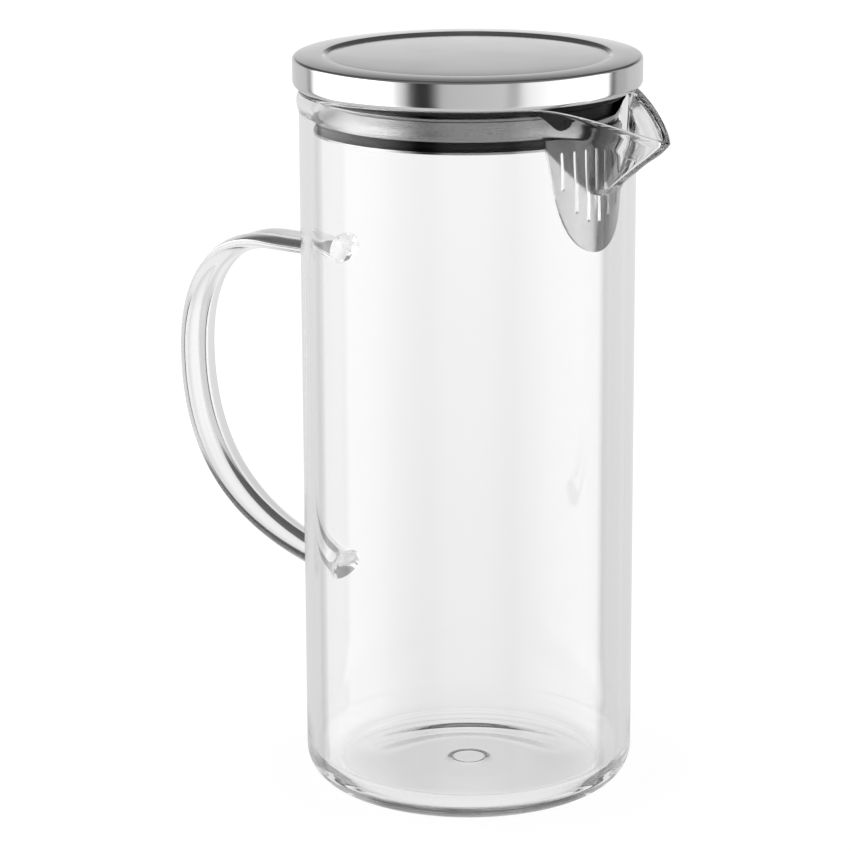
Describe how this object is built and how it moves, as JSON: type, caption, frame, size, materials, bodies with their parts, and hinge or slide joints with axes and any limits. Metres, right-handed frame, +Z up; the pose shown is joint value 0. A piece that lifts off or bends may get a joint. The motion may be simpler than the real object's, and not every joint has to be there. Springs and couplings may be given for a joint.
{
  "type": "glass pitcher with lid",
  "caption": "Tall clear glass pitcher with a pulled pouring spout, a fused glass strap handle and a lift-off round steel lid with a sealing ring, a pouring recess and a slotted strainer tongue.",
  "frame": {"origin": "centre of the base, on the plane that the pitcher stands on", "axes": "+Z is up along the axis of the round body, the spout points along +X and the handle lies along -X"},
  "size_m": [0.1877, 0.1086, 0.235],
  "materials": {
    "clear_glass": "clear fire-polished glass",
    "polished_steel": "bright turned and polished",
    "plain_steel": "plain rolled",
    "satin_steel": "fine satin",
    "dark_silicone": "matt moulded silicone"
  },
  "bodies": {
    "jug": {"glass_body": "clear_glass", "handle": "clear_glass"},
    "seal": {"seal_ring": "dark_silicone"},
    "lid": {"lid_cap": "polished_steel", "lid_underplate": "plain_steel", "lid_insert": "satin_steel", "lower_ring": "dark_silicone", "strainer": "satin_steel"}
  },
  "joints": [
    {"name": "lid_lift", "type": "slide", "parent": "jug", "child": "seal", "axis": [0, 0, 1], "range_m": [0, 0.06]},
    {"name": "lid_turn", "type": "hinge", "parent": "seal", "child": "lid", "pos_m": [0, 0, 0.2238], "axis": [0, 0, 1], "continuous": true}
  ]
}
